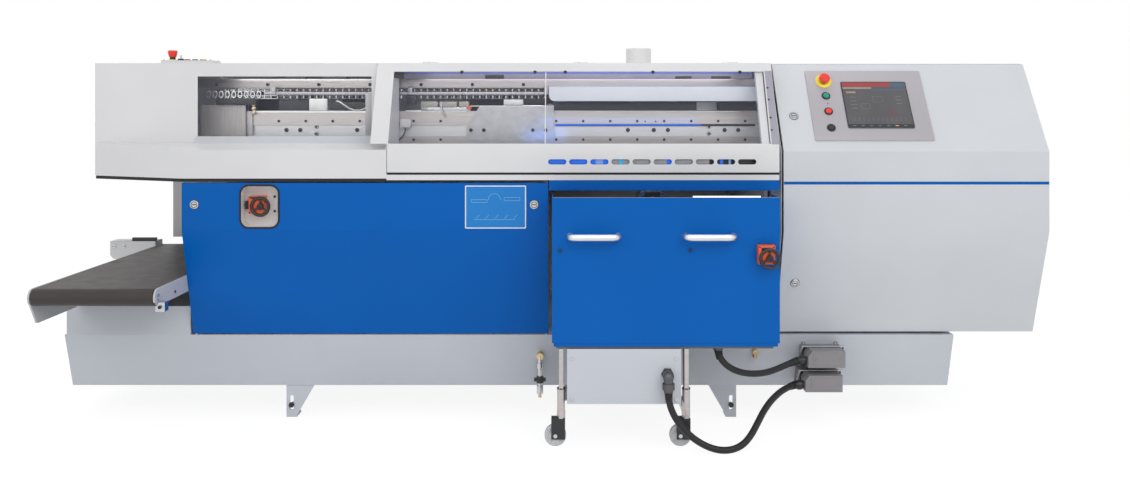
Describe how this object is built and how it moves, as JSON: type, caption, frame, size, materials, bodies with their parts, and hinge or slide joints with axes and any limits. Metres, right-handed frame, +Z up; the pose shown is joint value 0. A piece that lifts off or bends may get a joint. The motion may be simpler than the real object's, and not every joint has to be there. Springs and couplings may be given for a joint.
{
  "type": "perfect binding machine",
  "caption": "Floor-standing perfect binding machine with glazed hood, roll-out gluing unit, control cabinet and delivery conveyor.",
  "frame": {"origin": "centre of the machine's footprint, on the floor", "axes": "+X along the machine towards the control cabinet, +Y to the rear, +Z up"},
  "size_m": [3.755, 1.278, 1.405],
  "materials": {
    "cover_paint": "fine-textured light grey powder coat",
    "cabinet_paint": "fine-textured grey powder coat",
    "base_paint": "satin grey paint",
    "blue_paint": "satin blue powder coat",
    "pane": "clear polycarbonate",
    "machined_steel": "ground steel",
    "rail_aluminium": "milled aluminium",
    "zinc": "zinc-plated steel",
    "chain_steel": "oiled steel",
    "belt_rubber": "matt dark grey belt",
    "panel_plastic": "warm grey operator panel",
    "red_plastic": "moulded red",
    "green_plastic": "moulded green",
    "yellow_plastic": "moulded yellow",
    "black_plastic": "moulded black",
    "connector_alloy": "grey-coated die-cast alloy",
    "cable_sheath": "black cable sheath",
    "wheel_rubber": "grey rubber tread",
    "tank_iron": "coated cast iron",
    "roller_steel": "ground roller"
  },
  "bodies": {
    "machine_body": {"base_plinth": "base_paint", "mounting_feet": "zinc", "inner_frame": "base_paint", "rear_cover": "cover_paint", "left_cover": "cover_paint", "left_window": "pane", "cover_trims": "cover_paint", "console_box": "cover_paint", "exhaust_pipe": "zinc", "adjuster_tray": "cover_paint", "cabinet_body": "cabinet_paint", "plinth_fittings": "connector_alloy", "conveyor_frame": "zinc", "conveyor_belt": "belt_rubber", "transport_rails": "rail_aluminium", "top_beam": "cover_paint", "drive_chain": "chain_steel"},
    "hood": {"hood": "cover_paint", "hood_windows": "pane"},
    "left_panel": {"left_panel": "blue_paint"},
    "cabinet_door": {"cabinet_door": "cabinet_paint", "control_plate": "panel_plastic"},
    "gluing_unit": {"trolley_panel": "blue_paint", "trolley_fittings": "cover_paint", "trolley_frame": "rail_aluminium", "switch_box": "base_paint", "glue_tank": "tank_iron", "cable_lower": "cable_sheath", "cable_upper": "cable_sheath", "cable_hoods": "connector_alloy"},
    "panel_lock_left": {"panel_lock_left": "zinc"},
    "panel_lock_right": {"panel_lock_right": "zinc"},
    "door_estop": {"door_estop": "red_plastic"},
    "door_green": {"door_green": "green_plastic"},
    "door_red": {"door_red": "red_plastic"},
    "door_black": {"door_black": "black_plastic"},
    "door_lock_top": {"door_lock_top": "zinc"},
    "door_lock_bottom": {"door_lock_bottom": "zinc"},
    "handwheel_left": {"handwheel_left": "black_plastic"},
    "console_estop": {"console_estop": "red_plastic"},
    "console_key": {"console_key": "black_plastic"},
    "console_red": {"console_red": "red_plastic"},
    "console_green": {"console_green": "green_plastic"},
    "console_yellow": {"console_yellow": "yellow_plastic"},
    "valve_sleeve": {"valve_sleeve": "black_plastic"},
    "lever_upper": {"lever_upper": "connector_alloy"},
    "lever_lower": {"lever_lower": "connector_alloy"},
    "roller_front": {"roller_front": "roller_steel"},
    "roller_rear": {"roller_rear": "roller_steel"},
    "clamp_carriage": {"clamp_carriage": "machined_steel"},
    "sprocket_left": {"sprocket_left": "machined_steel"},
    "sprocket_right": {"sprocket_right": "machined_steel"},
    "milling_head": {"milling_head": "machined_steel"},
    "glue_roller": {"glue_roller": "roller_steel"},
    "handwheel_right": {"handwheel_right": "black_plastic"},
    "caster_fork_left": {"caster_fork_left": "black_plastic"},
    "caster_fork_right": {"caster_fork_right": "black_plastic"},
    "caster_wheel_left": {"caster_wheel_left": "wheel_rubber"},
    "caster_wheel_right": {"caster_wheel_right": "wheel_rubber"},
    "rear_wheels": {"rear_wheels": "wheel_rubber"}
  },
  "joints": [
    {"name": "hood_lift", "type": "hinge", "parent": "machine_body", "child": "hood", "pos_m": [0.1635, -0.069, 1.344], "axis": [-1, 0, 0], "range_deg": [0, 70]},
    {"name": "panel_tilt", "type": "hinge", "parent": "machine_body", "child": "left_panel", "pos_m": [-0.5865, -0.282, 0.334], "axis": [1, 0, 0], "range_deg": [0, 25]},
    {"name": "lock_left_turn", "type": "hinge", "parent": "left_panel", "child": "panel_lock_left", "pos_m": [-1.2015, -0.404, 0.822], "axis": [0, -1, 0], "range_deg": [0, 90]},
    {"name": "lock_right_turn", "type": "hinge", "parent": "left_panel", "child": "panel_lock_right", "pos_m": [0.0225, -0.404, 0.822], "axis": [0, -1, 0], "range_deg": [0, 90]},
    {"name": "door_swing", "type": "hinge", "parent": "machine_body", "child": "cabinet_door", "pos_m": [1.8705, -0.397, 0.87], "axis": [0, 0, 1], "range_deg": [0, 90]},
    {"name": "door_lock_top_turn", "type": "hinge", "parent": "cabinet_door", "child": "door_lock_top", "pos_m": [0.9765, -0.32117, 1.14], "axis": [0, -0.8376, 0.5463], "range_deg": [0, 90]},
    {"name": "door_lock_bottom_turn", "type": "hinge", "parent": "cabinet_door", "child": "door_lock_bottom", "pos_m": [0.9765, -0.33833, 0.528], "axis": [0, -0.9482, -0.3177], "range_deg": [0, 90]},
    {"name": "door_estop_push", "type": "slide", "parent": "cabinet_door", "child": "door_estop", "axis": [0, 0.8376, -0.5463], "range_m": [0, 0.005], "stiffness_N_per_m": 400},
    {"name": "door_green_push", "type": "slide", "parent": "cabinet_door", "child": "door_green", "axis": [0, 0.8376, -0.5463], "range_m": [0, 0.003], "stiffness_N_per_m": 400},
    {"name": "door_red_push", "type": "slide", "parent": "cabinet_door", "child": "door_red", "axis": [0, 0.8376, -0.5463], "range_m": [0, 0.003], "stiffness_N_per_m": 400},
    {"name": "door_black_push", "type": "slide", "parent": "cabinet_door", "child": "door_black", "axis": [0, 0.8376, -0.5463], "range_m": [0, 0.003], "stiffness_N_per_m": 400},
    {"name": "handwheel_left_turn", "type": "hinge", "parent": "machine_body", "child": "handwheel_left", "pos_m": [-0.9695, -0.384, 0.813], "axis": [0, -1, 0], "continuous": true},
    {"name": "console_estop_push", "type": "slide", "parent": "machine_body", "child": "console_estop", "axis": [0, 0, -1], "range_m": [0, 0.005], "stiffness_N_per_m": 400},
    {"name": "console_key_turn", "type": "hinge", "parent": "machine_body", "child": "console_key", "pos_m": [-1.3565, -0.124, 1.352], "axis": [0, 0, -1], "range_deg": [0, 90]},
    {"name": "console_red_push", "type": "slide", "parent": "machine_body", "child": "console_red", "axis": [0, 0, -1], "range_m": [0, 0.003], "stiffness_N_per_m": 400},
    {"name": "console_green_push", "type": "slide", "parent": "machine_body", "child": "console_green", "axis": [0, 0, -1], "range_m": [0, 0.003], "stiffness_N_per_m": 400},
    {"name": "console_yellow_push", "type": "slide", "parent": "machine_body", "child": "console_yellow", "axis": [0, 0, -1], "range_m": [0, 0.003], "stiffness_N_per_m": 400},
    {"name": "valve_sleeve_slide", "type": "slide", "parent": "machine_body", "child": "valve_sleeve", "axis": [0, 0, 1], "range_m": [0, 0.01]},
    {"name": "lever_upper_turn", "type": "hinge", "parent": "machine_body", "child": "lever_upper", "pos_m": [1.0805, -0.296, 0.26], "axis": [-1, 0, 0], "range_deg": [0, 30]},
    {"name": "lever_lower_turn", "type": "hinge", "parent": "machine_body", "child": "lever_lower", "pos_m": [1.0705, -0.296, 0.172], "axis": [-1, 0, 0], "range_deg": [0, 30]},
    {"name": "roller_front_turn", "type": "hinge", "parent": "machine_body", "child": "roller_front", "pos_m": [-1.4625, -0.609, 0.5285], "axis": [1, 0, 0], "continuous": true},
    {"name": "roller_rear_turn", "type": "hinge", "parent": "machine_body", "child": "roller_rear", "pos_m": [-1.4625, 0.476, 0.5285], "axis": [1, 0, 0], "continuous": true},
    {"name": "carriage_travel", "type": "slide", "parent": "machine_body", "child": "clamp_carriage", "axis": [1, 0, 0], "range_m": [-0.4, 0.4]},
    {"name": "sprocket_left_turn", "type": "hinge", "parent": "machine_body", "child": "sprocket_left", "pos_m": [-1.1265, -0.017, 1.22], "axis": [0, 0, 1], "range_deg": [-255.1, 255.1]},
    {"name": "sprocket_right_turn", "type": "hinge", "parent": "machine_body", "child": "sprocket_right", "pos_m": [0.8035, -0.017, 1.22], "axis": [0, 0, 1], "range_deg": [-255.1, 255.1]},
    {"name": "milling_spin", "type": "hinge", "parent": "machine_body", "child": "milling_head", "pos_m": [-0.2765, -0.004, 0.84], "axis": [0, 0, 1], "continuous": true},
    {"name": "unit_roll_out", "type": "slide", "parent": "machine_body", "child": "gluing_unit", "axis": [0, -1, 0], "range_m": [0, 0.8]},
    {"name": "glue_roller_turn", "type": "hinge", "parent": "gluing_unit", "child": "glue_roller", "pos_m": [0.4735, -0.014, 0.812], "axis": [0, 1, 0], "continuous": true},
    {"name": "handwheel_right_turn", "type": "hinge", "parent": "gluing_unit", "child": "handwheel_right", "pos_m": [0.8315, -0.593, 0.657], "axis": [0, -1, 0], "continuous": true},
    {"name": "caster_left_swivel", "type": "hinge", "parent": "gluing_unit", "child": "caster_fork_left", "pos_m": [0.12, -0.534, 0.09], "axis": [0, 0, 1], "continuous": true},
    {"name": "caster_left_roll", "type": "hinge", "parent": "caster_fork_left", "child": "caster_wheel_left", "pos_m": [0.1, -0.534, 0.0375], "axis": [0, 1, 0], "continuous": true},
    {"name": "caster_right_swivel", "type": "hinge", "parent": "gluing_unit", "child": "caster_fork_right", "pos_m": [0.553, -0.534, 0.09], "axis": [0, 0, 1], "continuous": true},
    {"name": "caster_right_roll", "type": "hinge", "parent": "caster_fork_right", "child": "caster_wheel_right", "pos_m": [0.533, -0.534, 0.0375], "axis": [0, 1, 0], "continuous": true},
    {"name": "rear_wheels_roll", "type": "hinge", "parent": "gluing_unit", "child": "rear_wheels", "pos_m": [0.3365, -0.004, 0.0375], "axis": [1, 0, 0], "continuous": true}
  ],
  "couplings": [
    {"joint": "roller_rear_turn", "follows": "roller_front_turn", "ratio": 1},
    {"joint": "sprocket_left_turn", "follows": "carriage_travel", "rad_per_m": -11.111},
    {"joint": "sprocket_right_turn", "follows": "carriage_travel", "rad_per_m": -11.111}
  ]
}
